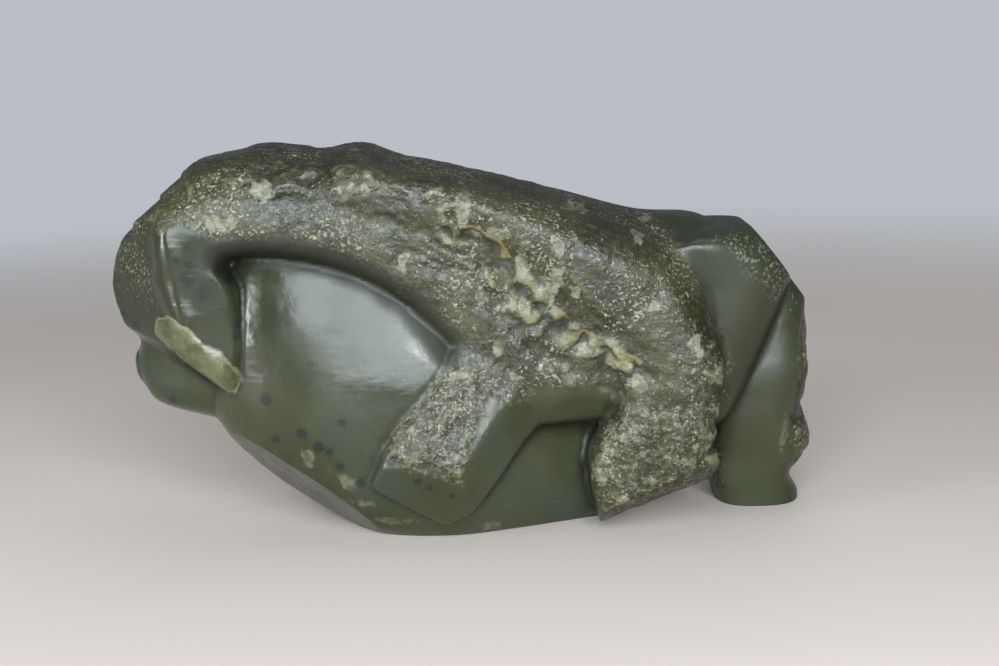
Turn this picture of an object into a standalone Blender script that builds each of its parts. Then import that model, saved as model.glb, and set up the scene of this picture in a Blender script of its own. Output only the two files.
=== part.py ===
"""A bear carved from one block of soapstone, bending its head down over a smooth boulder.

The bear faces left along -X, the viewer stands at -Y and +Z is up. The masses are drawn about
300 units long, and the finished carving is then brought to its length, depth and height.
"""

import bmesh
import bpy
import numpy as np

LENGTH = 0.301  # muzzle to heel, along X
DEPTH = 0.108  # near paw to far paw, along Y
HEIGHT = 0.165  # base to hump, along Z
GRAIN = 1.5  # voxel that the masses are fused at, in drawing units
TRIANGLES = 9000  # facets of the finished solid
SEAT = 0.0  # height of the plane that the boulder and the standing foot are cut flat at

# A station is (x and z on one edge, x and z on the other edge, front y, back y).
# The bowed head, from the muzzle up to the brow.
HEAD = [
    (-138, 78, -96, 58, -46, 30),
    (-143, 90, -90, 68, -47, 32),
    (-147, 101, -87, 82, -48, 34),
    (-147, 113, -87, 96, -48, 36),
    (-142, 126, -89, 109, -48, 38),
    (-133, 138, -95, 118, -47, 38),
    (-119, 149, -86, 124, -46, 38),
]
# From the brow over the hump and along the back to the rump.
TRUNK = [
    (-141, 129, -96, 114, -44, 38),
    (-130, 143, -94, 120, -46, 40),
    (-112, 159, -85, 121, -46, 41),
    (-93, 164, -72, 120, -46, 42),
    (-66, 165, -55, 116, -46, 42),
    (-36, 163, -37, 108, -46, 43),
    (-8, 156, -21, 95, -46, 44),
    (20, 149, -2, 72, -46, 45),
    (48, 141, 22, 47, -46, 45),
    (76, 133, 48, 46, -45, 45),
    (100, 131, 72, 48, -40, 44),
    (114, 124, 90, 54, -34, 43),
]
# The weathered skin of the back, which stands proud of the flank along a broken ridge.
BACK = [
    (-74, 163, -68, 156, -36, 10),
    (-58, 163, -51, 149, -43, 10),
    (-32, 160, -35, 143, -48, 10),
    (0, 152, -8, 134, -50, 10),
    (30, 143, 20, 122, -50, 10),
    (60, 134, 38, 102, -50, 10),
    (84, 124, 54, 88, -50, 10),
    (96, 112, 62, 74, -49, 10),
]
# The near foreleg, from the shoulder to the sole of the boxy paw.
FORELEG = [
    (8, 100, 50, 76, -40, -8),
    (-7, 80, 35, 52, -48, -8),
    (-20, 62, 24, 40, -54, -8),
    (-30, 47, 14, 27, -58, -8),
    (-36, 34, 3, 14, -58, -8),
    (-39, 27, -8, 8, -57, -10),
]
# The near hind leg, from the hip down the thigh to the lifted foot.
HIND_LEG = [
    (76, 126, 46, 112, -42, -5),
    (89, 108, 54, 92, -49, -5),
    (98, 94, 58, 80, -50, -5),
    (107, 77, 62, 66, -51, -5),
    (107, 62, 63, 55, -51, -6),
    (105, 48, 57, 45, -51, -8),
    (104, 38, 52, 33, -50, -8),
    (107, 27, 53, 18, -49, -8),
    (105, 10, 57, 0, -48, -8),
]
# The smooth hip that shows behind the thigh.
HIP = [
    (104, 127, 74, 116, -39, 43),
    (127, 126, 78, 107, -37, 42),
    (143, 112, 84, 98, -35, 40),
    (139, 98, 84, 86, -34, 34),
    (131, 80, 84, 74, -33, 24),
    (123, 62, 84, 60, -31, 18),
    (115, 46, 86, 48, -27, 12),
    (106, 38, 88, 40, -23, 6),
]
# The far hind leg, which stands on the ground behind the hip.
REAR_LEG = [
    (145, 108, 122, 92, -10, 40),
    (150, 96, 116, 81, -14, 42),
    (151, 81, 114, 70, -16, 43),
    (152, 66, 110, 58, -18, 43),
    (151, 54, 108, 48, -17, 43),
    (149, 44, 106, 39, -16, 43),
    (153, 34, 105, 31, -14, 43),
    (153, 24, 105, 22, -11, 42),
    (145, 12, 107, 12, -8, 41),
    (148, 3, 110, 3, -6, 39),
    (148, -5, 112, -5, -5, 38),
]
# The boulder, from its blunt left end to where it dies out under the belly.
BOULDER = [
    (-105, 108, -107, 50, -28, 28),
    (-94, 132, -96, 35, -38, 33),
    (-76, 143, -80, 18, -45, 38),
    (-50, 142, -56, 3, -49, 40),
    (-24, 131, -29, -6, -50, 41),
    (0, 110, -4, -8, -48, 41),
    (20, 84, 18, -8, -38, 40),
    (42, 66, 40, -7, -27, 37),
    (62, 56, 58, -5, -19, 33),
]
# The far thigh and foreleg, plainer than the near ones.
FAR_THIGH = [
    (120, 116, 72, 104, 6, 42),
    (134, 92, 72, 80, 6, 47),
    (140, 66, 84, 54, 6, 48),
    (140, 40, 98, 30, 6, 46),
]
FAR_FORELEG = [
    (8, 100, 50, 76, 8, 42),
    (-10, 78, 32, 50, 8, 47),
    (-26, 56, 20, 32, 8, 50),
    (-36, 34, 4, 12, 8, 49),
]
# What shows under the muzzle, reaching forward from the boulder.
FAR_PAW = [
    (-140, 79, -138, 63, -12, 10),
    (-133, 86, -131, 55, -22, 20),
    (-116, 92, -116, 50, -29, 30),
    (-96, 96, -96, 45, -29, 34),
]

# Each mass: its stations, how square its sections are towards the first and towards the second
# edge, and how far its ends bulge, as a share of its width there.
MASSES = {
    "head": (HEAD, 3.5, 5, 0.05),
    "trunk": (TRUNK, 2.3, 5, 0.1),
    "back": (BACK, 2.3, 6, 0.1),
    "foreleg": (FORELEG, 6, 5, 0.03),
    "hind_leg": (HIND_LEG, 8, 4, 0.1),
    "hip": (HIP, 2.4, 2, 0.1),
    "rear_leg": (REAR_LEG, 2.6, 3, 0.15),
    "boulder": (BOULDER, 2.0, 3, 0.15),
    "far_thigh": (FAR_THIGH, 3, 3, 0.1),
    "far_foreleg": (FAR_FORELEG, 3, 3, 0.1),
    "far_paw": (FAR_PAW, 2.4, 2.4, 0.2),
}
# The flats that the rasp left on each mass: a point on the plane, and the way it faces.
BROW = ((-117, -47, 130), (-0.72, -0.69, -0.1))
FOREHEAD = ((-125, 0, 144.8), (-0.70, 0, 0.71))
HUMP = ((-93, 0, 163), (-0.18, 0, 0.98))
RUMP = ((137.5, 0, 107), (0.8, 0, 0.6))
FLATS = {
    "head": [
        ((-112, -48, 98), (0.2, -0.98, 0.03)),
        ((-125, -42, 89), (-0.57, -0.32, -0.76)),
        ((-120, -46, 97), (-0.38, -0.8, -0.46)),
        BROW,
        FOREHEAD,
        HUMP,
    ],
    "trunk": [((21, -45, 55), (0.13, -0.84, -0.52)), BROW, FOREHEAD, HUMP],
    "foreleg": [((-31, -57, 38), (-0.13, -0.91, -0.39)), ((-1, -57, 28), (0.52, -0.85, -0.11))],
    "hind_leg": [((67, -48, 16), (0.36, -0.45, -0.81)), ((61, 0, 5), (0.27, 0, -0.96))],
    "boulder": [((-73.9, -38.8, 34.6), (-0.535, -0.479, -0.694))],
    "hip": [RUMP],
    "rear_leg": [RUMP],
}


def spline(points, steps):
    """Catmull-Rom curve through the rows of an array, with so many steps to each gap."""
    points = np.asarray(points, float)
    ends = np.vstack([2 * points[0] - points[1], points, 2 * points[-1] - points[-2]])
    curve = []
    for before, start, end, after in zip(ends, ends[1:], ends[2:], ends[3:]):
        for t in np.arange(steps) / steps:
            curve.append(
                0.5
                * (
                    2 * start
                    + (end - before) * t
                    + (2 * before - 5 * start + 4 * end - after) * t**2
                    + (3 * start - before - 3 * end + after) * t**3
                )
            )
    return np.array(curve + [points[-1]])


def rounded_ends(rows, cap):
    """Adds shrinking rows past both ends, so that a loft closes in a rounded end."""
    travel = np.array([0.35, 0.62, 0.82, 0.94, 0.99])
    size = np.sqrt(1 - travel**2)

    def end_rows(last, inner):
        heart = np.array([last[0:2] + last[2:4], inner[0:2] + inner[2:4]]) / 2
        along = (heart[0] - heart[1]) / np.linalg.norm(heart[0] - heart[1])
        width = np.linalg.norm(last[0:2] - last[2:4])
        still = np.array([*heart[0], *heart[0], last[4:].mean(), last[4:].mean()])
        return [
            still + (last - still) * s + np.array([*along, *along, 0, 0]) * cap * width * t
            for t, s in zip(travel, size)
        ]

    head = end_rows(rows[0], rows[1])[::-1]
    return np.array(head + list(rows) + end_rows(rows[-1], rows[-2]))


def loft(name, steps=6, around=48):
    """One of the masses: a closed loft between its two edges, with superelliptic sections."""
    stations, first_square, second_square, bulge = MASSES[name]
    rows = rounded_ends(spline(stations, steps), bulge)
    angle = (np.arange(around) + 0.5) * 2 * np.pi / around
    power = np.where(np.cos(angle) > 0, first_square, second_square)
    across = np.sign(np.cos(angle)) * abs(np.cos(angle)) ** (2 / power)
    deep = np.sign(np.sin(angle)) * abs(np.sin(angle)) ** (2 / power)
    body = bmesh.new()
    rings = []
    for x1, z1, x2, z2, front, back in rows:
        rings.append(
            [
                body.verts.new(
                    (
                        (x1 + x2) / 2 + (x1 - x2) / 2 * a,
                        (front + back) / 2 + (back - front) / 2 * d,
                        (z1 + z2) / 2 + (z1 - z2) / 2 * a,
                    )
                )
                for a, d in zip(across, deep)
            ]
        )
    for ring, following in zip(rings, rings[1:]):
        for i in range(around):
            j = (i + 1) % around
            body.faces.new((ring[i], ring[j], following[j], following[i]))
    body.faces.new(rings[0])
    body.faces.new(rings[-1])
    bmesh.ops.recalc_face_normals(body, faces=body.faces)
    mesh = bpy.data.meshes.new(name)
    body.to_mesh(mesh)
    body.free()
    piece = added(name, mesh)
    for point, normal in FLATS.get(name, []):
        sliced(piece, point, normal)
    return piece


def added(name, mesh):
    piece = bpy.data.objects.new(name, mesh)
    bpy.context.scene.collection.objects.link(piece)
    return piece


def sliced(piece, point, normal):
    """Cuts off what lies past a plane, as a rasp would, and closes the cut."""
    body = bmesh.new()
    body.from_mesh(piece.data)
    cut = bmesh.ops.bisect_plane(
        body,
        geom=body.verts[:] + body.edges[:] + body.faces[:],
        plane_co=point,
        plane_no=normal,
        clear_outer=True,
    )
    rim = [e for e in cut["geom_cut"] if isinstance(e, bmesh.types.BMEdge)]
    bmesh.ops.holes_fill(body, edges=rim)
    bmesh.ops.recalc_face_normals(body, faces=body.faces)
    body.to_mesh(piece.data)
    body.free()
    return piece


def applied(piece, kind, **settings):
    """Adds a modifier, and takes its result as the mesh."""
    modifier = piece.modifiers.new(kind.title(), kind)
    for key, value in settings.items():
        setattr(modifier, key, value)
    graph = bpy.context.evaluated_depsgraph_get()
    mesh = bpy.data.meshes.new_from_object(piece.evaluated_get(graph))
    piece.modifiers.clear()
    piece.data = mesh
    return piece


def fused(name, pieces, polish):
    """One skin round several masses, with so many passes of smoothing."""
    body = bmesh.new()
    for piece in pieces:
        body.from_mesh(piece.data)
        bpy.data.objects.remove(piece)
    mesh = bpy.data.meshes.new(name)
    body.to_mesh(mesh)
    body.free()
    whole = added(name, mesh)
    applied(whole, "REMESH", mode="VOXEL", voxel_size=GRAIN)
    if polish:
        applied(whole, "SMOOTH", factor=0.5, iterations=polish)
    return whole


def clear_scene():
    for piece in list(bpy.data.objects):
        bpy.data.objects.remove(piece)


def carving():
    bear = [loft(name) for name in MASSES if name not in ("boulder", "rear_leg", "far_paw")]
    upper = fused("upper", bear, 2)
    whole = fused("bear_carving", [upper, loft("boulder"), loft("rear_leg"), loft("far_paw")], 1)
    applied(whole, "DECIMATE", ratio=TRIANGLES / (2 * len(whole.data.polygons)))
    sliced(whole, (0, 0, SEAT), (0, 0, -1))
    return whole


def brought_to_size(piece):
    """Scales a piece to the main sizes, and stands it on the middle of its base."""
    corners = np.array([v.co for v in piece.data.vertices])
    low, high = corners.min(axis=0), corners.max(axis=0)
    scale = np.array([LENGTH, DEPTH, HEIGHT]) / (high - low)
    base = np.array([(low[0] + high[0]) / 2, (low[1] + high[1]) / 2, low[2]])
    for vertex, corner in zip(piece.data.vertices, (corners - base) * scale):
        vertex.co = corner


def stone():
    """Dark olive green soapstone with a waxy polish."""
    material = bpy.data.materials.new("soapstone")
    material.use_nodes = True
    shader = material.node_tree.nodes["Principled BSDF"]
    shader.inputs["Base Color"].default_value = (0.075, 0.085, 0.05, 1)
    shader.inputs["Roughness"].default_value = 0.3
    return material


def main():
    clear_scene()
    whole = carving()
    whole.data.materials.append(stone())
    brought_to_size(whole)
    shelf = bpy.data.collections.new("Soapstone bear carving")
    bpy.context.scene.collection.children.link(shelf)
    shelf.objects.link(whole)
    bpy.context.scene.collection.objects.unlink(whole)


main()
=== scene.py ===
"""The soapstone bear with its rough skin, chips and polish, over the solids that it was built from."""

import math

import bmesh
import bpy
import numpy as np
from mathutils import Matrix, Vector, noise


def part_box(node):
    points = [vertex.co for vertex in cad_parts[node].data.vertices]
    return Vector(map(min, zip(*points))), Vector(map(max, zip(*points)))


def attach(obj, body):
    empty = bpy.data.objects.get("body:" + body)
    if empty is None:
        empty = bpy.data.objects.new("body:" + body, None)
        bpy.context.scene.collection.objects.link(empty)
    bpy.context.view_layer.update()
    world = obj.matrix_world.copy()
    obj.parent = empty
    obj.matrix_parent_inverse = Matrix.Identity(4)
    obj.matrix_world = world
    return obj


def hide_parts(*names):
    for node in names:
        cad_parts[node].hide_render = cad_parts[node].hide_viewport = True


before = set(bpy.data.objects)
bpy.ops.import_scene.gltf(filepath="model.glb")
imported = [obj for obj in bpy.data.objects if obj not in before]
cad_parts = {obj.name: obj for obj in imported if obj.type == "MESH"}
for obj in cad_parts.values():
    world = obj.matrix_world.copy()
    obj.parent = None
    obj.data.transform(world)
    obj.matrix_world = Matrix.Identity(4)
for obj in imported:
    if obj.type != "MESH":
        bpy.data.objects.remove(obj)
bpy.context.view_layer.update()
BOX_LOW, BOX_HIGH = (np.array(corner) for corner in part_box("bear_carving"))

GRAIN = 1.34  # voxel of the finished mesh, in drawing units

# The photo's camera. Its place is in drawing units.
SENSOR_WIDTH, LENS = 36, 57.66  # millimetres
CAMERA_PLACE = (16, -683.9, 212.5)
CAMERA_SLOPE = 0.1925  # how far the view drops for each unit that it travels
CAMERA_ROLL = math.radians(1.6)

# The studio, in metres and watts.
WALL = (0.49, 0.52, 0.56, 1)  # the cool grey behind
WALL_LIGHT = 1.0  # as the camera sees it
ROOM_LIGHT = 0.38  # as it lights the stone
FLOOR_COLOUR = (0.355, 0.314, 0.292, 1)
FLOOR_RADIUS = 6
FLOOR_FADE = (0.45, 1.3)  # distances between which the floor turns into the wall
LAMPS_AIM = Vector((0, 0, 0.08))
# Each lamp: its place, width and height, power, colour, and whether the stone mirrors it.
LAMPS = {
    "key": ((0.0, -1.25, 0.62), (1.1, 0.95), 50, (0.84, 0.94, 1), True),
    "flash": ((0.33, -0.9, 0.42), (0.12, 0.12), 2.2, (1, 0.99, 0.97), True),
    "left": ((-1.0, -0.65, 0.3), (0.3, 0.6), 16, (0.95, 0.98, 1), True),
    "low": ((0, -0.42, 0.035), (1.0, 0.06), 4.5, (1, 0.98, 0.95), False),
    "above": ((0.2, 0.1, 1.5), (0.9, 0.9), 5, (1, 0.96, 0.93), True),
    "behind": ((0.3, 1.3, 0.9), (1.2, 0.9), 7, (1, 0.98, 0.96), False),
}

# The drawing of the masses, in drawing units: the bear faces -x, and the viewer is at -y.

# A station is (x and z on one edge, x and z on the other edge, front y, back y).
# The bowed head, from the muzzle up to the brow.
HEAD = [
    (-138, 78, -96, 58, -46, 30),
    (-143, 90, -90, 68, -47, 32),
    (-147, 101, -87, 82, -48, 34),
    (-147, 113, -87, 96, -48, 36),
    (-142, 126, -89, 109, -48, 38),
    (-133, 138, -95, 118, -47, 38),
    (-119, 149, -86, 124, -46, 38),
]
# From the brow over the hump and along the back to the rump.
TRUNK = [
    (-141, 129, -96, 114, -44, 38),
    (-130, 143, -94, 120, -46, 40),
    (-112, 159, -85, 121, -46, 41),
    (-93, 164, -72, 120, -46, 42),
    (-66, 165, -55, 116, -46, 42),
    (-36, 163, -37, 108, -46, 43),
    (-8, 156, -21, 95, -46, 44),
    (20, 149, -2, 72, -46, 45),
    (48, 141, 22, 47, -46, 45),
    (76, 133, 48, 46, -45, 45),
    (100, 131, 72, 48, -40, 44),
    (114, 124, 90, 54, -34, 43),
]
# The weathered skin of the back, which stands proud of the flank along a broken ridge.
BACK = [
    (-74, 163, -68, 156, -36, 10),
    (-58, 163, -51, 149, -43, 10),
    (-32, 160, -35, 143, -48, 10),
    (0, 152, -8, 134, -50, 10),
    (30, 143, 20, 122, -50, 10),
    (60, 134, 38, 102, -50, 10),
    (84, 124, 54, 88, -50, 10),
    (96, 112, 62, 74, -49, 10),
]
# The near foreleg, from the shoulder to the sole of the boxy paw.
FORELEG = [
    (8, 100, 50, 76, -40, -8),
    (-7, 80, 35, 52, -48, -8),
    (-20, 62, 24, 40, -54, -8),
    (-30, 47, 14, 27, -58, -8),
    (-36, 34, 3, 14, -58, -8),
    (-39, 27, -8, 8, -57, -10),
]
# The near hind leg, from the hip down the thigh to the lifted foot.
HIND_LEG = [
    (76, 126, 46, 112, -42, -5),
    (89, 108, 54, 92, -49, -5),
    (98, 94, 58, 80, -50, -5),
    (107, 77, 62, 66, -51, -5),
    (107, 62, 63, 55, -51, -6),
    (105, 48, 57, 45, -51, -8),
    (104, 38, 52, 33, -50, -8),
    (107, 27, 53, 18, -49, -8),
    (105, 10, 57, 0, -48, -8),
]
# The smooth hip that shows behind the thigh.
HIP = [
    (104, 127, 74, 116, -39, 43),
    (127, 126, 78, 107, -37, 42),
    (143, 112, 84, 98, -35, 40),
    (139, 98, 84, 86, -34, 34),
    (131, 80, 84, 74, -33, 24),
    (123, 62, 84, 60, -31, 18),
    (115, 46, 86, 48, -27, 12),
    (106, 38, 88, 40, -23, 6),
]
# The far hind leg, which stands on the ground behind the hip.
REAR_LEG = [
    (145, 108, 122, 92, -10, 40),
    (150, 96, 116, 81, -14, 42),
    (151, 81, 114, 70, -16, 43),
    (152, 66, 110, 58, -18, 43),
    (151, 54, 108, 48, -17, 43),
    (149, 44, 106, 39, -16, 43),
    (153, 34, 105, 31, -14, 43),
    (153, 24, 105, 22, -11, 42),
    (145, 12, 107, 12, -8, 41),
    (148, 3, 110, 3, -6, 39),
    (148, -5, 112, -5, -5, 38),
]
# The boulder, from its blunt left end to where it dies out under the belly.
BOULDER = [
    (-105, 108, -107, 50, -28, 28),
    (-94, 132, -96, 35, -38, 33),
    (-76, 143, -80, 18, -45, 38),
    (-50, 142, -56, 3, -49, 40),
    (-24, 131, -29, -6, -50, 41),
    (0, 110, -4, -8, -48, 41),
    (20, 84, 18, -8, -38, 40),
    (42, 66, 40, -7, -27, 37),
    (62, 56, 58, -5, -19, 33),
]
# The far thigh and foreleg, plainer than the near ones.
FAR_THIGH = [
    (120, 116, 72, 104, 6, 42),
    (134, 92, 72, 80, 6, 47),
    (140, 66, 84, 54, 6, 48),
    (140, 40, 98, 30, 6, 46),
]
FAR_FORELEG = [
    (8, 100, 50, 76, 8, 42),
    (-10, 78, 32, 50, 8, 47),
    (-26, 56, 20, 32, 8, 50),
    (-36, 34, 4, 12, 8, 49),
]
# What shows under the muzzle, reaching forward from the boulder.
FAR_PAW = [
    (-140, 79, -138, 63, -12, 10),
    (-133, 86, -131, 55, -22, 20),
    (-116, 92, -116, 50, -29, 30),
    (-96, 96, -96, 45, -29, 34),
]

# Each mass: its stations, how square its sections are towards the first and towards the second
# edge, and how far its ends bulge, as a share of its width there.
MASSES = {
    "head": (HEAD, 3.5, 5, 0.05),
    "trunk": (TRUNK, 2.3, 5, 0.1),
    "back": (BACK, 2.3, 6, 0.1),
    "foreleg": (FORELEG, 6, 5, 0.03),
    "hind_leg": (HIND_LEG, 8, 4, 0.1),
    "hip": (HIP, 2.4, 2, 0.1),
    "rear_leg": (REAR_LEG, 2.6, 3, 0.15),
    "boulder": (BOULDER, 2.0, 3, 0.15),
    "far_thigh": (FAR_THIGH, 3, 3, 0.1),
    "far_foreleg": (FAR_FORELEG, 3, 3, 0.1),
    "far_paw": (FAR_PAW, 2.4, 2.4, 0.2),
}
# The flats that the rasp left on each mass: a point on the plane, and the way it faces.
BROW = ((-117, -47, 130), (-0.72, -0.69, -0.1))
FOREHEAD = ((-125, 0, 144.8), (-0.70, 0, 0.71))
HUMP = ((-93, 0, 163), (-0.18, 0, 0.98))
RUMP = ((137.5, 0, 107), (0.8, 0, 0.6))
FLATS = {
    "head": [
        ((-112, -48, 98), (0.2, -0.98, 0.03)),
        ((-125, -42, 89), (-0.57, -0.32, -0.76)),
        ((-120, -46, 97), (-0.38, -0.8, -0.46)),
        BROW,
        FOREHEAD,
        HUMP,
    ],
    "trunk": [((21, -45, 55), (0.13, -0.84, -0.52)), BROW, FOREHEAD, HUMP],
    "foreleg": [((-31, -57, 38), (-0.13, -0.91, -0.39)), ((-1, -57, 28), (0.52, -0.85, -0.11))],
    "hind_leg": [((67, -48, 16), (0.36, -0.45, -0.81)), ((61, 0, 5), (0.27, 0, -0.96))],
    "boulder": [((-73.9, -38.8, 34.6), (-0.535, -0.479, -0.694))],
    "hip": [RUMP],
    "rear_leg": [RUMP],
}
# The masses that join the fused rest last.
SET_APART = ("boulder", "rear_leg", "far_paw")


def spline(points, steps):
    """Catmull-Rom curve through the rows of an array, with so many steps to each gap."""
    points = np.asarray(points, float)
    ends = np.vstack([2 * points[0] - points[1], points, 2 * points[-1] - points[-2]])
    curve = []
    for before, start, end, after in zip(ends, ends[1:], ends[2:], ends[3:]):
        for t in np.arange(steps) / steps:
            curve.append(
                0.5
                * (
                    2 * start
                    + (end - before) * t
                    + (2 * before - 5 * start + 4 * end - after) * t**2
                    + (3 * start - before - 3 * end + after) * t**3
                )
            )
    return np.array(curve + [points[-1]])


def rounded_ends(rows, cap):
    """Adds shrinking rows past both ends, so that a loft closes in a rounded end."""
    travel = np.array([0.35, 0.62, 0.82, 0.94, 0.99])
    size = np.sqrt(1 - travel**2)

    def end_rows(last, inner):
        heart = np.array([last[0:2] + last[2:4], inner[0:2] + inner[2:4]]) / 2
        along = (heart[0] - heart[1]) / np.linalg.norm(heart[0] - heart[1])
        width = np.linalg.norm(last[0:2] - last[2:4])
        still = np.array([*heart[0], *heart[0], last[4:].mean(), last[4:].mean()])
        return [
            still + (last - still) * s + np.array([*along, *along, 0, 0]) * cap * width * t
            for t, s in zip(travel, size)
        ]

    head = end_rows(rows[0], rows[1])[::-1]
    return np.array(head + list(rows) + end_rows(rows[-1], rows[-2]))


def loft(name, steps=6, around=48):
    """One of the masses: a closed loft between its two edges, with superelliptic sections."""
    stations, first_square, second_square, bulge = MASSES[name]
    rows = rounded_ends(spline(stations, steps), bulge)
    angle = (np.arange(around) + 0.5) * 2 * np.pi / around
    power = np.where(np.cos(angle) > 0, first_square, second_square)
    across = np.sign(np.cos(angle)) * abs(np.cos(angle)) ** (2 / power)
    deep = np.sign(np.sin(angle)) * abs(np.sin(angle)) ** (2 / power)
    body = bmesh.new()
    rings = []
    for x1, z1, x2, z2, front, back in rows:
        rings.append(
            [
                body.verts.new(
                    (
                        (x1 + x2) / 2 + (x1 - x2) / 2 * a,
                        (front + back) / 2 + (back - front) / 2 * d,
                        (z1 + z2) / 2 + (z1 - z2) / 2 * a,
                    )
                )
                for a, d in zip(across, deep)
            ]
        )
    for ring, following in zip(rings, rings[1:]):
        for i in range(around):
            j = (i + 1) % around
            body.faces.new((ring[i], ring[j], following[j], following[i]))
    body.faces.new(rings[0])
    body.faces.new(rings[-1])
    bmesh.ops.recalc_face_normals(body, faces=body.faces)
    mesh = bpy.data.meshes.new(name)
    body.to_mesh(mesh)
    body.free()
    piece = added(name, mesh)
    for point, normal in FLATS.get(name, []):
        sliced(piece, point, normal)
    return piece


def added(name, data):
    """An object in the scene that holds a mesh, a camera or a lamp."""
    piece = bpy.data.objects.new(name, data)
    bpy.context.scene.collection.objects.link(piece)
    return piece


def sliced(piece, point, normal):
    """Cuts off what lies past a plane, as a rasp would, and closes the cut."""
    body = bmesh.new()
    body.from_mesh(piece.data)
    cut = bmesh.ops.bisect_plane(
        body,
        geom=body.verts[:] + body.edges[:] + body.faces[:],
        plane_co=point,
        plane_no=normal,
        clear_outer=True,
    )
    rim = [e for e in cut["geom_cut"] if isinstance(e, bmesh.types.BMEdge)]
    bmesh.ops.holes_fill(body, edges=rim)
    bmesh.ops.recalc_face_normals(body, faces=body.faces)
    body.to_mesh(piece.data)
    body.free()


def applied(piece, kind, **settings):
    """Adds a modifier, and takes its result as the mesh."""
    modifier = piece.modifiers.new(kind.title(), kind)
    for key, value in settings.items():
        setattr(modifier, key, value)
    graph = bpy.context.evaluated_depsgraph_get()
    mesh = bpy.data.meshes.new_from_object(piece.evaluated_get(graph))
    piece.modifiers.clear()
    piece.data = mesh


def fused(name, pieces):
    """One skin round several masses, lightly smoothed."""
    body = bmesh.new()
    for piece in pieces:
        body.from_mesh(piece.data)
        bpy.data.objects.remove(piece)
    mesh = bpy.data.meshes.new(name)
    body.to_mesh(mesh)
    body.free()
    whole = added(name, mesh)
    applied(whole, "REMESH", mode="VOXEL", voxel_size=GRAIN)
    applied(whole, "SMOOTH", factor=0.5, iterations=2)
    return whole


# The relief, in drawing units.
OUTSIDE = -9  # the depth where a kind of surface doesn't reach
SHOWN = 0.02  # the least share of the near side that counts as on it
FACES_UP = 0.2  # how far up a normal points, at least, on the spine
SIDES_MEET, SIDES_BLEND = -6, 16  # y where the near side gives way to the far one, and over how much
ONLY_BEFORE = {"paw": -44, "lip": -28, "nose": -4}  # kinds that lie in front of this y
SPINE_HALF_WIDTH, SPINE_FOOT, SPINE_END = 24, 132, 40  # in y, z and x
EVEN_PASSES, LOOSE_PASSES = 6, 60
RIM_WIDTH, RIM_CURVE = 0.08, 0.35  # of a bite, as shares of its length
LIP_HEIGHT = 1.6
CREST_HEIGHT = 2.4
MUZZLE_TIP = (-128, 76)
SKYLINE = [(-81, 1.2), (-58, -1.8), (-40, 1.6), (-22, -1.0)]  # x and height of its low bumps
STRIATIONS = ((-4, 124), (15, 10))  # the middle and the reach of the marks that a chisel left
STRIATION_DEPTH = 0.9
SWELL = ((-50, 58), (34, 20))  # the middle and the reach of the great smooth face's swell
SWELL_HEIGHT = 3.0

# Regions of the near side, as outlines in x and z.
REGIONS = {
    "skin": [
        (-141, 132), (-112, 162), (-60, 172), (0, 162), (60, 144), (82, 140), (89, 124), (101, 104),
        (107, 88), (112, 60), (112, 8), (70, -4), (50, 22), (54, 46), (70, 62), (48, 67), (20, 58),
        (10, 66), (-2, 90), (-22, 109), (-44, 122), (-68, 129), (-92, 131), (-112, 136), (-124, 130),
    ],
    "paw": [(-2, 80), (-18, 62), (-30, 46), (-31, 38), (-12, 32), (-1, 28), (5, 46), (12, 66)],
    "foot": [(60, 50), (54, 38), (54, 22), (60, 6), (72, 13), (104, 28), (104, 56), (80, 58)],
    "broken": [(10, 128), (36, 120), (58, 94), (84, 76), (80, 54), (56, 62), (30, 80), (4, 106)],
    "lip": [
        (-127, 90), (-125, 97), (-117, 100), (-110, 95), (-104, 88), (-97, 84), (-89, 72), (-93, 66),
        (-99, 67), (-117, 82),
    ],
    "heel": [(151, 98), (145, 80), (143, 52), (139, 30), (144, 10), (152, 2), (162, 50)],
    "sprinkled": [(84, 138), (104, 134), (136, 116), (158, 86), (156, 30), (142, 30), (142, 84), (108, 118)],
    "nose": [(-119, 134), (-118, 112), (-113, 98), (-128, 94), (-150, 96), (-156, 116), (-142, 134)],
}  # fmt: skip
# The ridge along which the weathered skin of the back broke away.
RIDGE = [
    (-78, 150), (-66, 156), (-50, 153), (-35, 146), (-22, 140), (-8, 136), (5, 133), (14, 128),
    (19, 121), (25, 114), (31, 106), (41, 95), (52, 87), (60, 81), (73, 76),
]  # fmt: skip
# The groove above the great smooth face, along which a band of shade is painted dark.
GROOVE = [
    (-97, 120), (-89, 121.5), (-68, 120.5), (-52, 116.5), (-36, 109.5), (-20, 98.5), (-11, 88), (-5, 79),
]  # fmt: skip
# The shallow hollow between the thigh and the hip, and the crest down the middle of the face.
HOLLOW = [(80, 134), (88, 119), (96, 104), (101, 90)]
CREST = [(-119, 134), (-118, 122), (-119, 114), (-116, 105), (-112, 98)]
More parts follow.
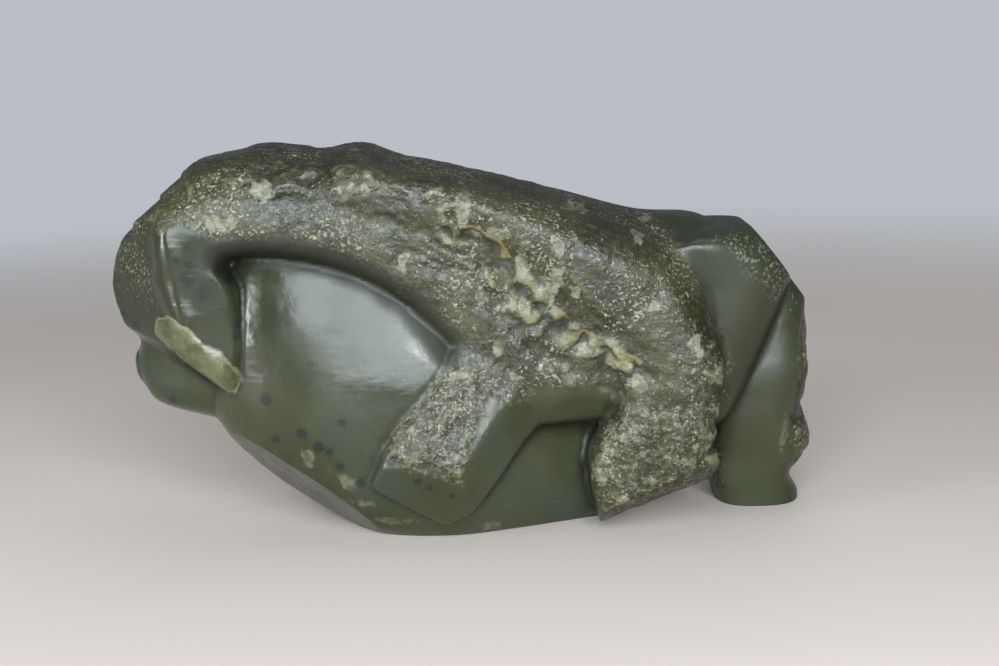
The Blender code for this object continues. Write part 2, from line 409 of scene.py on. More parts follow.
# Bites that chips left: where the rim is, the way the bite runs, half width, length and depth.
BITES = [
    (-96, 156, -100, 9, 16, 1.4), (-84, 155, -95, 9, 18, 1.2), (-68, 152, -80, 10, 16, 1.4),
    (-54, 149, -95, 9, 16, 1.2), (-42, 144, -110, 8, 14, 1.4), (-30, 140, -95, 8, 13, 1.6),
    (-22, 136, -120, 7, 14, 1.2), (-12, 134, -100, 7, 13, 1.3), (-3, 132, -115, 7, 13, 1.8),
    (7, 131, -100, 7, 13, 2.8), (15, 126, -125, 6, 12, 2.6), (22, 118, -140, 7, 13, 3.2),
    (29, 109, -125, 6, 13, 3.0), (36, 101, -140, 6, 12, 3.0), (43, 94, -120, 6, 12, 3.4),
    (51, 88, -135, 7, 12, 2.8), (60, 82, -120, 7, 11, 2.4), (69, 77, -110, 6, 10, 1.8),
    (77, 72, -130, 6, 9, 1.4), (14, 108, -110, 6, 10, 1.8), (24, 97, -140, 6, 11, 2.0),
    (33, 86, -120, 6, 11, 2.0), (44, 78, -130, 6, 10, 2.0), (2, 118, -120, 6, 10, 1.6),
    (-20, 126, -100, 6, 9, 1.2), (-6, 120, -130, 5, 9, 1.4),
    (-124, 150, -135, 8, 12, 1.4), (-134, 139, -150, 7, 12, 1.2), (-112, 156, -120, 8, 14, 1.4),
    (104, 88, 190, 5, 9, 1.8), (107, 76, 170, 5, 8, 1.8), (108, 63, 200, 5, 9, 2.0),
    (106, 50, 185, 5, 8, 1.8), (105, 38, 170, 4, 8, 1.4), (60, 10, 60, 5, 8, 1.4),
    (72, 15, 100, 5, 8, 1.4), (86, 20, 80, 5, 8, 1.2), (98, 25, 100, 4, 7, 1.2),
]  # fmt: skip
# Thick shells that stand along the break, as (x, z, half length, half width, turn, height).
SHELLS = [
    (30, 108, 11, 3.4, -52, 1.4), (26, 98, 8, 5, -30, 1.2), (44, 86, 6.5, 4.2, 40, 1.5),
    (55, 82, 8, 4.6, 15, 1.6), (64, 76, 6.5, 4.2, -25, 1.5), (14, 112, 6, 3, -60, 1.0),
    (38, 96, 6, 3, -50, 1.2), (-2, 128, 7, 2.4, -25, 1.0),
]  # fmt: skip
# Dark orbs in the stone, as (x, z, radius).
ORBS = [
    (-102, 119, 2.0), (-108, 121, 1.6), (-110, 116, 1.6), (-108, 113, 1.7), (-105, 110, 1.6),
    (-103, 107, 1.6), (-93, 114, 1.6), (-90, 95, 1.7), (-91, 90, 1.3), (-85, 77, 1.2), (-82, 76.5, 1.2),
    (-80, 64, 2.4), (-66, 50, 2.2), (-77, 47, 1.6), (-59, 44, 2.4), (-55, 42, 1.6), (-49, 55, 1.6),
    (-51, 35, 1.6), (-43, 28, 2.0), (-29, 39, 2.2), (-19, 30, 1.5), (-14, 27, 1.2), (-5, 23, 1.2),
    (-123, 59, 1.6), (-113, 123, 1.3), (-143, 96, 2.0), (-137, 92, 2.0), (-134, 86, 1.8), (-141, 88, 1.8),
]  # fmt: skip
# Pale patches in the stone, as (x, z, half width, half height).
PATCHES = [
    (-77, 149, 4, 4.4), (-96, 136.5, 8, 3), (-42, 149.5, 6, 2.2), (-23, 119, 2.6, 4),
    (3, 142.5, 3, 7), (12.5, 130, 7, 2), (26, 115, 3, 8), (35, 103.5, 3.6, 8), (40, 124.4, 2.6, 4.6),
    (39.6, 109.5, 2.6, 6), (48, 106, 2.4, 2.8), (73, 126, 3, 2.3), (78, 131, 3, 1.8), (47, 138.6, 2.6, 1.8),
    (52, 137, 2.2, 1.5), (79, 99, 2.3, 2.3), (62, 82, 5, 3), (52, 81.6, 5, 3.2), (20.5, 99, 3.6, 2.7),
    (8, 106, 2.2, 2.2), (-6, 138.7, 2, 6), (16, 82, 2.2, 2.2), (22, 70, 1.8, 1.8), (95, 83, 2.6, 6),
    (-10, 146.6, 2.6, 1.8), (72.5, 67, 4, 3.6), (57, 28, 3.6, 2.7), (-48, 28, 3.6, 4.2), (-64, 39, 2.2, 3.6),
    (-41, 17.5, 6, 1.6), (0, 72, 4, 1.8), (137, 37, 1.4, 6), (-30, 9, 7, 1.6), (10, 4, 4, 3), (64, 60, 3, 3),
]  # fmt: skip
# Each mask of the stone: the stored kind of surface, the scale of the noise that moves its edge and by
# how many units, and the depths between which it fades in.
MASKS = {
    "rough": ("rough", 160, 4, -1, 1.5),
    "sprinkled": ("sprinkled", 90, 6, -3, 6),
    "speckled": ("rough", 90, 7, -3, 5),
    "coarse": ("coarse", 200, 2, -0.5, 1),
    "broken": ("broken", 110, 7, -1, 1.5),
    "lip": ("lip", 220, 1.2, -0.4, 0.5),
    "inner lip": ("lip", 160, 1.6, 0.6, 1.8),
    "orb": ("orb", 260, 0.8, -1.3, 0.7),
    "patch": ("patch", 200, 5, -0.3, 0.7),
    "crest": ("crest", 120, 5, 0.9, 1.8),
    "bitten": ("bitten", 140, 1.2, 0.3, 2.2),
    "shelled": ("shelled", 160, 0.8, 0.3, 1.0),
    # painted shade: a band along the groove above the great smooth face
    "groove_shade": ("groove_shade", 60, 1, -1, 4),
    # painted shade: darkens the creases that the concavity finds
    "crease shade": ("crevice", 100, 0.3, 0.25, 2.0),
    "unworn": ("crevice", 170, 0.5, -1.6, -0.5),
}
# Colours of the stone, and of the shade painted on it, in linear light.
COLOURS = {
    "deep green": (0.012, 0.014, 0.006, 1),
    "mid green": (0.020, 0.023, 0.012, 1),
    # painted shade: the darker green of the upper parts, with the lower parts left lighter as the floor
    # lights them
    "painted high shade": (0.010, 0.012, 0.006, 1),
    "blue cloud": (0.013, 0.018, 0.015, 1),
    "brown speck": (0.029, 0.027, 0.019, 1),
    "dark skin": (0.009, 0.009, 0.004, 1),
    "light skin": (0.019, 0.019, 0.008, 1),
    "skin grain": (0.027, 0.025, 0.014, 1),
    "cream fleck": (0.144, 0.144, 0.097, 1),
    "dark shell": (0.025, 0.026, 0.012, 1),
    "light shell": (0.074, 0.075, 0.039, 1),
    "dark blade": (0.034, 0.035, 0.014, 1),
    "light blade": (0.104, 0.103, 0.058, 1),
    "ochre": (0.088, 0.075, 0.034, 1),
    "mineral": (0.094, 0.092, 0.066, 1),
    "dark lip": (0.030, 0.031, 0.013, 1),
    "light lip": (0.057, 0.057, 0.030, 1),
    "lip edge": (0.109, 0.103, 0.066, 1),
    "dark patch": (0.047, 0.049, 0.029, 1),
    "light patch": (0.099, 0.101, 0.072, 1),
    "worn edge": (0.084, 0.080, 0.048, 1),
    "orb": (0.005, 0.007, 0.007, 1),
    # painted shade in the creases and along the groove above the great smooth face
    "painted shade": (0.004, 0.005, 0.002, 1),
}


def depth_inside(outline, x, z):
    """How far inside an outline each point is. Outside it is less than nothing."""
    points = np.array(outline, float)
    nearest = np.full(len(x), 1e9)
    within = np.zeros(len(x), bool)
    for (x1, z1), (x2, z2) in zip(points, np.roll(points, -1, axis=0)):
        nearest = np.minimum(nearest, from_line(x, z, x1, z1, x2, z2))
        crosses = (z1 > z) != (z2 > z)
        within ^= crosses & (x < (x2 - x1) * (z - z1) / ((z2 - z1) or 1e-9) + x1)
    return np.where(within, nearest, -nearest)


def from_line(x, z, x1, z1, x2, z2):
    """How far each point is from a straight line between two places."""
    dx, dz = x2 - x1, z2 - z1
    t = np.clip(((x - x1) * dx + (z - z1) * dz) / (dx * dx + dz * dz), 0, 1)
    return np.hypot(x - x1 - t * dx, z - z1 - t * dz)


def from_path(points, x, z):
    """How far each point is from a path of straight lines."""
    return np.minimum.reduce([from_line(x, z, *a, *b) for a, b in zip(points, points[1:])])


def falloff(distance, width):
    """1 at no distance, and dying away over the width."""
    return np.exp(-((distance / width) ** 2))


def share(depth, edge):
    """0 outside a region and 1 inside it, across an edge so wide."""
    return np.clip(depth / edge + 0.5, 0, 1)


def rumble(points, scale, seed, octaves=3):
    """Smooth noise over the points, about -1 to 1."""
    shift = Vector((seed * 17.3, seed * 5.1, seed * 9.7))
    return np.array([noise.fractal(Vector(p) / scale + shift, 1.0, 2.0, octaves) for p in points])


def facets(points, scale, seed):
    """Broken facets: how far each point lies from the middle of its cell, about 0 to 1."""
    shift = Vector((seed * 11.9, seed * 3.7, seed * 7.3))
    return np.array([noise.voronoi(Vector(p) / scale + shift)[0][0] for p in points])


def vertex_array(mesh, name):
    values = np.empty(len(mesh.vertices) * 3)
    mesh.vertices.foreach_get(name, values)
    return values.reshape(-1, 3)


def averaged(mesh, co, passes):
    """Each point moved to the middle of its neighbours, so many times over."""
    ends = np.empty(len(mesh.edges) * 2, int)
    mesh.edges.foreach_get("vertices", ends)
    a, b = ends.reshape(-1, 2).T
    count = np.bincount(a, minlength=len(co)) + np.bincount(b, minlength=len(co))
    mean = co.copy()
    for _ in range(passes):
        sums = [
            np.bincount(a, mean[b, i], len(co)) + np.bincount(b, mean[a, i], len(co))
            for i in range(3)
        ]
        mean = np.stack(sums, axis=1) / count[:, None]
    return mean


def concavity(mesh, co, normal, passes):
    """How far the skin round each point stands out past the point. On a ridge it is below nothing."""
    return ((averaged(mesh, co, passes) - co) * normal).sum(axis=1)


def bites(x, z):
    """How deep the chips bit at each point, each with a crisp rim and a floor that runs out."""
    deepest = np.zeros(len(x))
    for cx, cz, way, half, length, depth in BITES:
        dx, dz = math.cos(math.radians(way)), math.sin(math.radians(way))
        across = ((x - cx) * dz - (z - cz) * dx) / half
        along = ((x - cx) * dx + (z - cz) * dz) / length - RIM_CURVE * across**2
        inside = (along > 0) & (along < 1) & (abs(across) < 1)
        floor_width = np.sqrt(np.clip(1 - across**2, 0, 1))
        bite = depth * (1 - along) * floor_width * np.clip(along / RIM_WIDTH, 0, 1)
        deepest = np.where(inside, np.maximum(deepest, bite), deepest)
    return deepest


def shells(x, z):
    """How much thicker each point is for the shells, each highest near its lower rim."""
    most = np.zeros(len(x))
    for cx, cz, long, wide, turn, height in SHELLS:
        dx, dz = math.cos(math.radians(turn)), math.sin(math.radians(turn))
        u = ((x - cx) * dx + (z - cz) * dz) / long
        v = ((x - cx) * -dz + (z - cz) * dx) / wide
        inside = np.clip(1 - u * u - v * v, 0, 1)
        most = np.maximum(most, height * np.clip(inside * 3, 0, 1) * (0.75 - 0.35 * v))
    return most


def surface_depths(co, normal, near, wander):
    """How deep each point lies inside each kind of surface, in drawing units."""
    x, y, z = co.T
    deep = {name: depth_inside(outline, x, z) for name, outline in REGIONS.items()}
    for name, front in ONLY_BEFORE.items():
        deep[name] = np.where(y < front, deep[name], OUTSIDE)
    spine = np.minimum(SPINE_HALF_WIDTH - abs(y), np.minimum(z - SPINE_FOOT, SPINE_END - x)) * 0.5
    spine = np.where(normal[:, 2] > FACES_UP, spine, OUTSIDE)
    skin = np.where(near > SHOWN, deep["skin"] + wander, OUTSIDE)
    deep["rough"] = np.maximum.reduce([skin, spine, deep["paw"], deep["heel"]])
    return deep


def evened(mesh, co, rasped, crevice):
    """Smooths the polished faces, and leaves their edges and creases."""
    even = (1 - rasped) * np.clip(1.3 - abs(crevice) / 0.3, 0, 1)
    return co + (averaged(mesh, co, EVEN_PASSES) - co) * even[:, None]


def loosened(mesh, co, near, to_crest):
    """Smooths away the solid's own step at the ridge, the hollow, the crest and the muzzle's tip."""
    x, _, z = co.T
    by_ridge = near * np.clip((90 - x) / 20, 0, 1) * falloff(from_path(RIDGE, x, z + 3), 13)
    by_hollow = near * 0.9 * falloff(from_path(HOLLOW, x, z), 10)
    by_crest = near * 0.9 * falloff(to_crest, 8)
    by_tip = falloff(np.hypot(x - MUZZLE_TIP[0], z - MUZZLE_TIP[1]), 13)
    loose = np.maximum.reduce([by_ridge, by_hollow, by_crest, by_tip])
    return co + (averaged(mesh, co, LOOSE_PASSES) - co) * loose[:, None]


def roughened(shift, co, near, full, lip):
    """Adds the facets, lumps and flakes of each rough surface to how far the points move out."""
    rasped, broken = full["rough"], full["broken"]
    coarse = np.maximum(full["paw"], full["foot"] * near)
    shift -= rasped * (0.5 + 0.5 * broken) * facets(co, 13, 2)
    shift += rasped * 0.4 * rumble(co, 6, 3)
    shift += coarse * 0.8 * rumble(co, 4.6, 4) - coarse * 0.4 * facets(co, 5, 8)
    shift -= broken * near * (1.2 * facets(co, 8, 5) + 0.5 * rumble(co, 5, 9))
    shift -= full["heel"] * 1.8 * facets(co, 10, 6)
    shift += full["nose"] * 0.4 * rumble(co, 11, 11, 2)
    shift += np.clip(lip / 4, 0, 1) * LIP_HEIGHT + full["lip"] * 0.25 * rumble(co, 4, 7)
    return shift


def modelled(shift, co, near, wander, rasped, to_crest, chipped):
    """Adds the low forms that are finer than the solid's grain."""
    x, _, z = co.T
    # The ridge stands less proud over the hump
    ridge = near * np.clip((24 - x) / 24, 0, 1) * falloff(from_path(RIDGE, x, z - 6), 9)
    shift -= ridge * (1.5 + 1.6 * rumble(co, 9, 13))
    shift += chipped
    for bump_x, height in SKYLINE:
        shift += height * falloff(x - bump_x, 7) * np.clip((z - 140) / 14, 0, 1)
    (comb_x, comb_z), (reach_x, reach_z) = STRIATIONS
    comb = np.clip(1.2 - np.hypot((x - comb_x) / reach_x, (z - comb_z) / reach_z), 0, 1)
    shift += near * comb * STRIATION_DEPTH * np.sin((z + 0.35 * x + wander) * 1.5)
    shift += near * CREST_HEIGHT * falloff(to_crest, 5)
    (swell_x, swell_z), (wide, high) = SWELL
    swell = np.exp(-(((x - swell_x) / wide) ** 2) - ((z - swell_z) / high) ** 2)
    shift += near * (1 - rasped) * SWELL_HEIGHT * swell
    return shift


def kept_for_the_stone(mesh, values):
    """Stores values on the points, for the material to read."""
    for name, value in values.items():
        layer = mesh.attributes.new(name, "FLOAT", "POINT")
        layer.data.foreach_set("value", np.clip(value, OUTSIDE, -OUTSIDE).astype(np.float32))


def relief(piece):
    """Moves the skin in and out, and stores how deep in each kind of surface a point is and where shade is
    painted.
    """
    mesh = piece.data
    co, normal = vertex_array(mesh, "co"), vertex_array(mesh, "normal")
    near = np.clip(0.5 - (co[:, 1] - SIDES_MEET) / SIDES_BLEND, 0, 1)
    wander = rumble(co, 14, 1, 2) * 3
    deep = surface_depths(co, normal, near, wander)
    full = {name: share(depth, 3) for name, depth in deep.items()}
    full["rough"] = share(deep["rough"], 4)
    crevice = concavity(mesh, co, normal, 10)
    co = evened(mesh, co, full["rough"], crevice)
    to_crest = from_path(CREST, co[:, 0], co[:, 2])
    co = loosened(mesh, co, near, to_crest)
    normal = averaged(mesh, normal, 12)
    normal /= np.linalg.norm(normal, axis=1)[:, None]

    x, _, z = co.T
    bitten = bites(x + wander * 0.5, z + rumble(co, 7, 12, 2) * 1.2) * near
    shelled = shells(x + wander * 0.4, z + rumble(co, 5, 14, 2) * 1.0) * near
    shift = -0.25 * np.clip(crevice, 0, 1.5) * near
    shift = roughened(shift, co, near, full, deep["lip"])
    shift = modelled(shift, co, near, wander, full["rough"], to_crest, shelled - bitten)
    co = co + normal * shift[:, None]
    mesh.vertices.foreach_set("co", co.ravel())
    mesh.update()

    x, _, z = co.T
    normal = vertex_array(mesh, "normal")
    fine, wide = concavity(mesh, co, normal, 5), concavity(mesh, co, normal, 36)
    orb = np.maximum.reduce([r - np.hypot(x - cx, z - cz) for cx, cz, r in ORBS])
    patch = np.maximum.reduce(
        [(1 - np.hypot((x - cx) / rx, (z - cz) / rz)) * min(rx, rz) for cx, cz, rx, rz in PATCHES]
    )
    crest = np.clip((x + 8) / 6, OUTSIDE, 3) - from_path(RIDGE, x + wander * 0.5, z)
    kept_for_the_stone(
        mesh,
        {
            "rough": deep["rough"],
            "coarse": np.maximum(deep["paw"], np.where(near > SHOWN, deep["foot"], OUTSIDE)),
            "sprinkled": np.where(near > SHOWN, np.maximum(deep["sprinkled"], deep["nose"] - 2), OUTSIDE),
            "broken": np.where(near > SHOWN, deep["broken"], OUTSIDE),
            "lip": deep["lip"],
            "orb": np.where(near > 0.3, orb, OUTSIDE),
            "patch": np.where(near > 0.3, patch, OUTSIDE),
            "bitten": bitten,
            "shelled": shelled,
            # painted shade: a band along the groove above the great smooth face
            "groove_shade": near * (9 - from_path(GROOVE, x, z - 3)) - 1,
            # concavity: darkens hollows as painted shade, and marks the worn edges
            "crevice": np.maximum(fine * 3, wide * 1.3),
            "crest": np.where(near > 0.1, crest, OUTSIDE),
        },
    )
    return piece


def carving():
    """The upper masses fused and smoothed first, so that their creases are the softer ones."""
    upper = fused("upper", [loft(name) for name in MASSES if name not in SET_APART])
    return relief(fused("stone_bear", [upper] + [loft(name) for name in SET_APART]))


def settled(piece):
    """Cuts the floor plane, moves the drawing into the frame and keeps it in the solid's box."""
    sliced(piece, (0, 0, 0), (0, 0, -1))
    co = vertex_array(piece.data, "co")
    low, high = co.min(axis=0), co.max(axis=0)
    scale = (BOX_HIGH - BOX_LOW) / (high - low)
    co = BOX_LOW + (co - low) * scale
    piece.data.vertices.foreach_set("co", co.ravel())
    piece.data.update()
    for face in piece.data.polygons:
        face.use_smooth = True
    return low, scale


class Nodes:
    """Short ways to add the nodes of one material. All noise is placed by object coordinates."""

    def __init__(self, tree):
        self.tree = tree
        self.place = tree.nodes.new("ShaderNodeTexCoord").outputs["Object"]

    def plug(self, socket, value):
        """Links a node's output, or sets a number or a named colour."""
        if isinstance(value, str):
            value = COLOURS[value]
        if isinstance(value, (int, float, tuple)):
            socket.default_value = value
        else:
            self.tree.links.new(value, socket)

    def along(self, axis):
        parts = self.tree.nodes.new("ShaderNodeSeparateXYZ")
        self.plug(parts.inputs[0], self.place)
        return parts.outputs[axis]

    def clouds(self, scale, detail=3.0, roughness=0.55):
        made = self.tree.nodes.new("ShaderNodeTexNoise")
        made.inputs["Scale"].default_value = scale
        made.inputs["Detail"].default_value = detail
        made.inputs["Roughness"].default_value = roughness
        self.plug(made.inputs["Vector"], self.place)
        return made.outputs["Fac"]

    def strokes(self, scales, turn):
        """Noise drawn out into strokes, as a rasp leaves them."""
        stretched = self.tree.nodes.new("ShaderNodeMapping")
        stretched.inputs["Rotation"].default_value = (0, math.radians(turn), 0)
        stretched.inputs["Scale"].default_value = scales
        self.plug(stretched.inputs["Vector"], self.place)
        made = self.tree.nodes.new("ShaderNodeTexNoise")
        made.inputs["Scale"].default_value = 1.0
        made.inputs["Detail"].default_value = 3
        self.plug(made.inputs["Vector"], stretched.outputs["Vector"])
        return made.outputs["Fac"]

    def ramp(self, source, low, high, to_low=0.0, to_high=1.0):
        made = self.tree.nodes.new("ShaderNodeMapRange")
        made.interpolation_type = "SMOOTHSTEP"
        ends = {"From Min": low, "From Max": high, "To Min": to_low, "To Max": to_high}
        for key, value in ends.items():
            self.plug(made.inputs[key], value)
        self.plug(made.inputs["Value"], source)
        return made.outputs["Result"]

    def maths(self, operation, *values):
        made = self.tree.nodes.new("ShaderNodeMath")
        made.operation = operation
        for socket, value in zip(made.inputs, values):
            self.plug(socket, value)
        return made.outputs[0]

    def times(self, a, b):
        return self.maths("MULTIPLY", a, b)

    def most(self, a, b):
        return self.maths("MAXIMUM", a, b)

    def rest(self, amount):
        return self.maths("SUBTRACT", 1.0, amount)

    def mixed(self, amount, a, b):
        made = self.tree.nodes.new("ShaderNodeMix")
        made.data_type = "RGBA"
        for index, value in ((0, amount), (6, a), (7, b)):
            self.plug(made.inputs[index], value)
        return made.outputs[2]

    def mask(self, attribute, noise_scale, wander, low, high):
        """1 well inside a stored kind of surface, with an edge that wanders by so many units."""
        stored = self.tree.nodes.new("ShaderNodeAttribute")
        stored.attribute_name = attribute
        moved = self.maths("MULTIPLY_ADD", self.clouds(noise_scale, 4), wander * 2, -wander)
        return self.ramp(self.maths("ADD", stored.outputs["Fac"], moved), low, high)

    def bump(self, height, strength, distance, under):
        made = self.tree.nodes.new("ShaderNodeBump")
        self.plug(made.inputs["Strength"], strength)
        made.inputs["Distance"].default_value = distance
        self.plug(made.inputs["Height"], height)
        if under:
            self.plug(made.inputs["Normal"], under)
        return made.outputs["Normal"]


def flecks(nodes, kinds):
    """Cream flecks of three sizes, gathered in drifts."""
    clouds, ramp, maths, times = nodes.clouds, nodes.ramp, nodes.maths, nodes.times
    drift = ramp(clouds(30, 3), 0.38, 0.62, 0.085, -0.03)
    small = ramp(maths("SUBTRACT", clouds(760, 2, 0.6), drift), 0.575, 0.65)
    middling = ramp(maths("SUBTRACT", clouds(380, 3, 0.7), drift), 0.62, 0.67)
    large = ramp(maths("SUBTRACT", clouds(150, 3, 0.6), drift), 0.69, 0.72)
    where = nodes.most(kinds["speckled"], times(kinds["sprinkled"], 0.6))
    return times(nodes.most(times(small, 0.75), nodes.most(middling, large)), where)


def polished_colour(nodes):
    """Clouds of green with fine brown specks, and darker high up: painted shade, with the lower parts left
    lighter as the floor lights them.
    """
    clouds, ramp, mixed = nodes.clouds, nodes.ramp, nodes.mixed
    green = mixed(ramp(clouds(16), 0.35, 0.68), "deep green", "mid green")
    green = mixed(ramp(clouds(34, 4), 0.5, 0.72, 0, 0.6), green, "blue cloud")
    green = mixed(ramp(clouds(300, 3), 0.60, 0.72, 0, 0.3), green, "brown speck")
    # painted shade: darker towards the top
    height = nodes.maths("ADD", nodes.along("Z"), nodes.times(clouds(14, 3), 0.05))
    return mixed(ramp(height, 0.07, 0.14, 0, 0.9), green, "painted high shade")


def skin_colour(nodes):
    """The brown green of the weathered skin."""
    clouds, ramp = nodes.clouds, nodes.ramp
    skin = nodes.mixed(ramp(clouds(46, 5), 0.38, 0.66), "dark skin", "light skin")
    return nodes.mixed(ramp(clouds(420, 3), 0.5, 0.68, 0, 0.5), skin, "skin grain")


def stone_colour(nodes, kinds, pale):
    """Polished green and weathered skin, with the pale and the dark marks laid over them in turn, and
    painted shade last in the creases and along the groove above the great smooth face.
    """
    clouds, ramp, mixed, times = nodes.clouds, nodes.ramp, nodes.mixed, nodes.times
    rough, lip, bitten = kinds["rough"], kinds["lip"], kinds["bitten"]
    colour = mixed(rough, polished_colour(nodes), skin_colour(nodes))
    colour = mixed(times(pale, 0.7), colour, "cream fleck")
    shell = mixed(ramp(clouds(120, 4), 0.4, 0.6), "dark shell", "light shell")
    shelly = nodes.most(times(kinds["broken"], bitten), times(bitten, 0.3))
    colour = mixed(times(shelly, ramp(clouds(85, 3), 0.42, 0.56)), colour, shell)
    blade = mixed(ramp(clouds(180, 4), 0.4, 0.62), "dark blade", "light blade")
    colour = mixed(times(kinds["shelled"], 0.7), colour, blade)
    colour = mixed(times(kinds["crest"], 0.6), colour, "ochre")
    mineral = times(kinds["coarse"], ramp(clouds(300, 4, 0.65), 0.50, 0.66, 0, 0.55))
    colour = mixed(mineral, colour, "mineral")
    rim = mixed(ramp(clouds(120, 3), 0.4, 0.6), "dark lip", "light lip")
    colour = mixed(times(lip, 0.8), colour, rim)
    colour = mixed(times(times(lip, nodes.rest(kinds["inner lip"])), 0.5), colour, "lip edge")
    mottled = mixed(ramp(clouds(260, 4), 0.4, 0.6), "dark patch", "light patch")
    colour = mixed(times(kinds["patch"], ramp(rough, 0, 1, 0.35, 0.75)), colour, mottled)
    colour = mixed(times(times(nodes.rest(kinds["unworn"]), rough), 0.5), colour, "worn edge")
    colour = mixed(times(kinds["orb"], 0.8), colour, "orb")
    # painted shade in the creases and along the groove above the great smooth face
    return mixed(kinds["shaded"], colour, "painted shade")


def stone_roughness(nodes, kinds, pale):
    """Waxed where polished, glinting over the skin, and duller behind the hip, in creases and on flecks."""
    clouds, ramp, times = nodes.clouds, nodes.ramp, nodes.times
    rough = kinds["rough"]
    waxed = ramp(clouds(30, 5, 0.65), 0.36, 0.64, 0.16, 0.32)
    glints = ramp(clouds(460, 3, 0.6), 0.49, 0.58, 0.26, -0.06)
    behind = times(ramp(nodes.along("X"), 0.085, 0.105), nodes.rest(rough))
    creased = nodes.most(kinds["shaded"], kinds["groove_shade"])
    for more in (times(rough, glints), times(behind, 0.14), times(creased, 0.35), times(pale, 0.15)):
        waxed = nodes.maths("ADD", waxed, more)
    return waxed


def stone_normal(nodes, kinds, pale):
    """The relief that is too fine for the mesh, as (height, strength, distance) from broad to fine."""
    clouds, strokes, times = nodes.clouds, nodes.strokes, nodes.times
    rough = kinds["rough"]
    layers = [
        (strokes((70, 300, 600), 35), 0.1, 0.0006),
        (clouds(45, 4), 0.3, 0.002),
        (strokes((160, 260, 380), 40), times(rough, 0.3), 0.001),
        (clouds(330, 3, 0.6), times(rough, 0.5), 0.0012),
        (clouds(600, 2, 0.6), times(nodes.most(rough, kinds["lip"]), 0.5), 0.0006),
        (clouds(520, 2, 0.6), times(kinds["coarse"], 0.6), 0.0009),
        (times(pale, -1.0), 0.4, 0.0003),
    ]
    normal = None
    for height, strength, distance in layers:
        normal = nodes.bump(height, strength, distance, normal)
    return normal


def stone():
    """Olive green soapstone: clouded and waxed where polished, flecked and broken where rough."""
    material = bpy.data.materials.new("soapstone")
    material.use_nodes = True
    nodes = Nodes(material.node_tree)
    kinds = {name: nodes.mask(*row) for name, row in MASKS.items()}
    # painted shade: where the creases and the groove above the great smooth face are darkened
    kinds["shaded"] = nodes.most(nodes.times(kinds["crease shade"], 0.8), nodes.times(kinds["groove_shade"], 0.93))
    pale = flecks(nodes, kinds)
    shader = nodes.tree.nodes["Principled BSDF"]
    nodes.plug(shader.inputs["Base Color"], stone_colour(nodes, kinds, pale))
    nodes.plug(shader.inputs["Roughness"], stone_roughness(nodes, kinds, pale))
    nodes.plug(shader.inputs["Normal"], stone_normal(nodes, kinds, pale))
    shader.inputs["IOR"].default_value = 1.34
    shader.inputs["Coat Weight"].default_value = 0.05
    shader.inputs["Coat Roughness"].default_value = 0.18
    return material


bear = carving()
DRAWN_LOW, DRAWN_SCALE = settled(bear)
bear.data.materials.clear()
bear.data.materials.append(stone())
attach(bear, "root")
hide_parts("bear_carving")


def framed(place):
    """A place in the drawing, in the frame."""
    return Vector(BOX_LOW + (np.array(place) - DRAWN_LOW) * DRAWN_SCALE)


def photo_camera():
    """The photo's view, worked out from the straight edges of what the carving stands on."""
    data = bpy.data.cameras.new("camera")
    camera = added("camera", data)
    bpy.context.scene.camera = camera
    data.sensor_width = SENSOR_WIDTH
    data.lens = LENS
    pitch = math.atan(CAMERA_SLOPE)
    forward = Vector((0, math.cos(pitch), -math.sin(pitch)))
    across = Vector((1, 0, 0))
    up = across.cross(forward)
    right = across * math.cos(CAMERA_ROLL) - up * math.sin(CAMERA_ROLL)
    top = across * math.sin(CAMERA_ROLL) + up * math.cos(CAMERA_ROLL)
    pose = Matrix((right, top, -forward)).transposed().to_4x4()
    pose.translation = framed(CAMERA_PLACE)
    camera.matrix_world = pose


def mixed_shaders(tree, amount, first, second, output):
    """Shows the second shader by that amount over the first."""
    both = tree.nodes.new("ShaderNodeMixShader")
    tree.links.new(amount, both.inputs[0])
    tree.links.new(first.outputs[0], both.inputs[1])
    tree.links.new(second.outputs[0], both.inputs[2])
    tree.links.new(both.outputs[0], tree.nodes[output].inputs["Surface"])


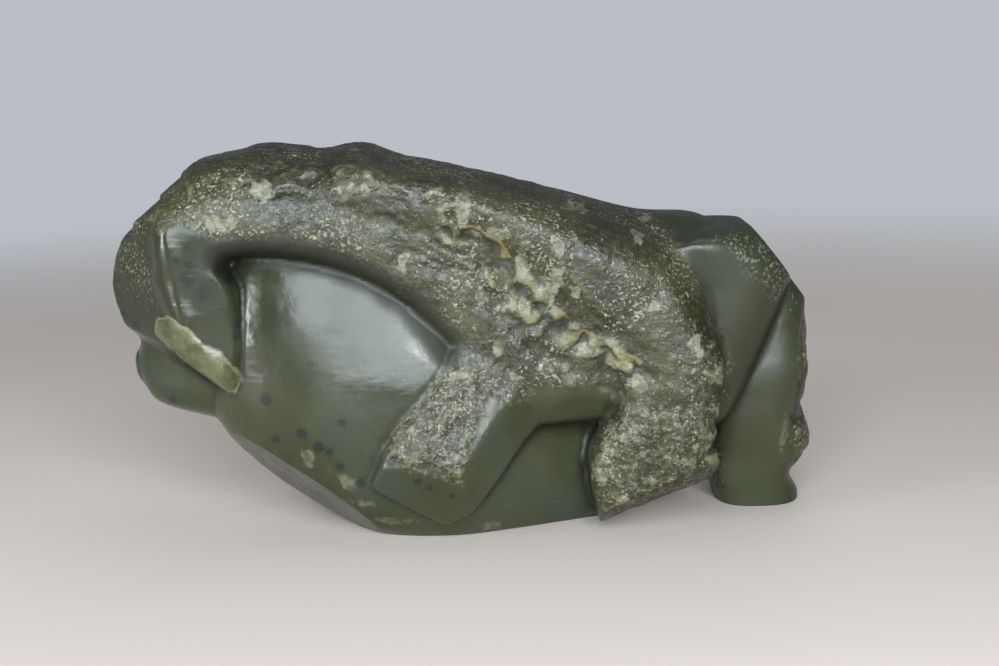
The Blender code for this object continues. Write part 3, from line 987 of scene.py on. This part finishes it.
def floor():
    """A pale floor that fades to the cool grey of the wall behind."""
    body = bmesh.new()
    bmesh.ops.create_circle(body, cap_ends=True, segments=96, radius=FLOOR_RADIUS)
    mesh = bpy.data.meshes.new("floor")
    body.to_mesh(mesh)
    body.free()
    piece = added("floor", mesh)
    material = bpy.data.materials.new("floor")
    material.use_nodes = True
    tree = material.node_tree
    shader = tree.nodes["Principled BSDF"]
    shader.inputs["Roughness"].default_value = 0.5
    shader.inputs["IOR"].default_value = 1.25
    shader.inputs["Base Color"].default_value = FLOOR_COLOUR
    wall = tree.nodes.new("ShaderNodeEmission")
    wall.inputs["Color"].default_value = WALL
    wall.inputs["Strength"].default_value = WALL_LIGHT
    nodes = Nodes(tree)
    apart = tree.nodes.new("ShaderNodeVectorMath")
    apart.operation = "LENGTH"
    nodes.plug(apart.inputs[0], nodes.place)
    fade = nodes.ramp(apart.outputs["Value"], *FLOOR_FADE)
    mixed_shaders(tree, fade, shader, wall, "Material Output")
    piece.data.materials.append(material)


def background(tree, strength):
    made = tree.nodes.new("ShaderNodeBackground")
    made.inputs["Color"].default_value = WALL
    made.inputs["Strength"].default_value = strength
    return made


def room():
    """The wall as the camera sees it, and a dimmer one that lights the stone."""
    world = bpy.data.worlds.new("studio")
    bpy.context.scene.world = world
    world.use_nodes = True
    tree = world.node_tree
    felt, seen = background(tree, ROOM_LIGHT), background(tree, WALL_LIGHT)
    seen_directly = tree.nodes.new("ShaderNodeLightPath").outputs["Is Camera Ray"]
    mixed_shaders(tree, seen_directly, felt, seen, "World Output")


def lamp(name, place, size, power, colour, mirrored):
    data = bpy.data.lights.new(name, "AREA")
    data.shape = "RECTANGLE"
    data.size, data.size_y = size
    data.energy = power
    data.color = colour
    piece = added(name, data)
    piece.location = place
    aim = LAMPS_AIM - Vector(place)
    piece.rotation_euler = aim.to_track_quat("-Z", "Y").to_euler()
    piece.visible_glossy = mirrored


photo_camera()
floor()
room()
for name, row in LAMPS.items():
    lamp(name, *row)
bpy.context.scene.view_settings.view_transform = "Standard"
bpy.context.view_layer.update()
